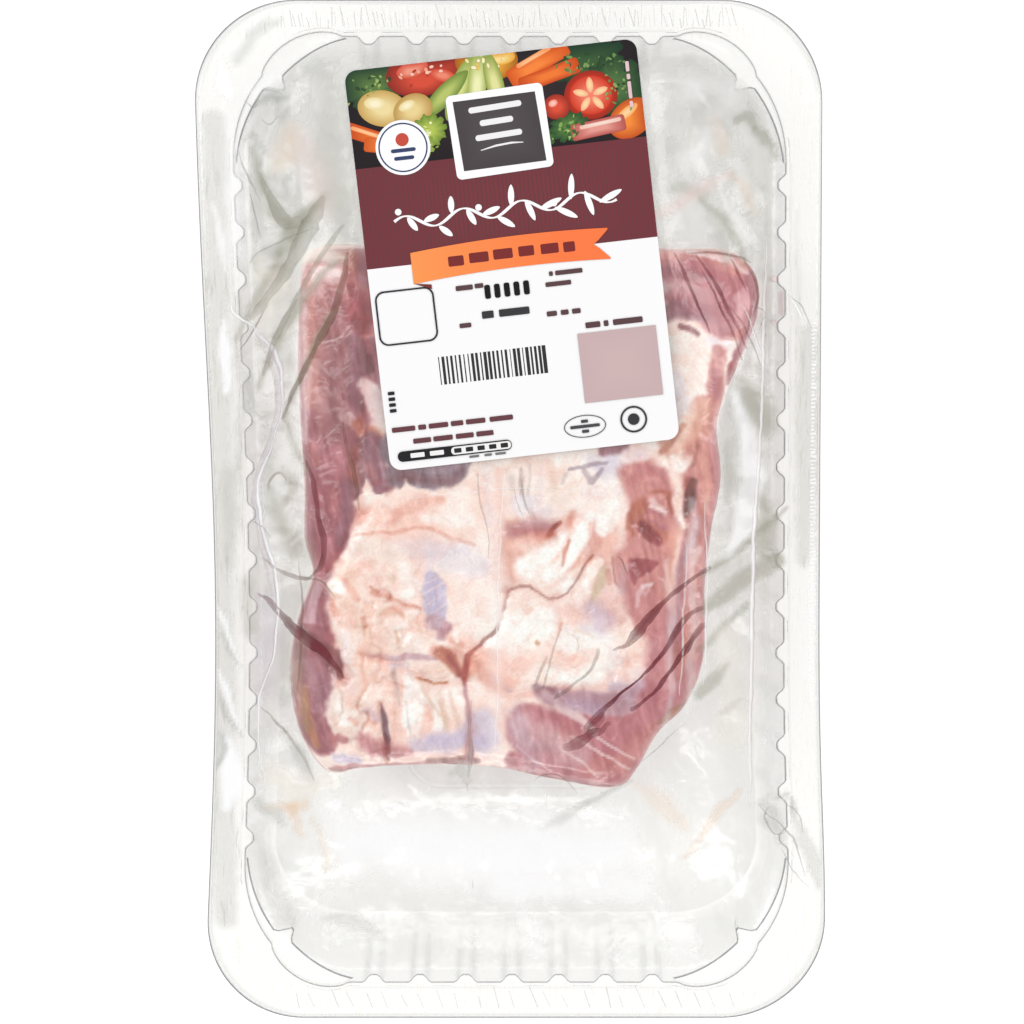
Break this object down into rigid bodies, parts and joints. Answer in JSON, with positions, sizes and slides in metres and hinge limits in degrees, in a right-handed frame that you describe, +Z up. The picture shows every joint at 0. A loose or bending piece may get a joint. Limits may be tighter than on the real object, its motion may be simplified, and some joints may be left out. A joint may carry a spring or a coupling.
{
  "type": "pork belly pack",
  "caption": "Raw pork belly in a shallow clear tray with fluted walls and a flat flange, sealed under clear film that dips round the meat, with a paper label on the film.",
  "frame": {"origin": "under the middle of the pack, on the surface that the tray stands on", "axes": "+Z up, +Y along the tray towards the label's end, +X to the right of the label's reader"},
  "size_m": [0.1614, 0.262, 0.0414],
  "materials": {
    "tray": "gloss",
    "meat": "satin",
    "film": "gloss",
    "label": "satin"
  },
  "bodies": {
    "root": {"tray": "tray", "pork_belly": "meat", "lid_film": "film", "label": "label"}
  },
  "joints": []
}
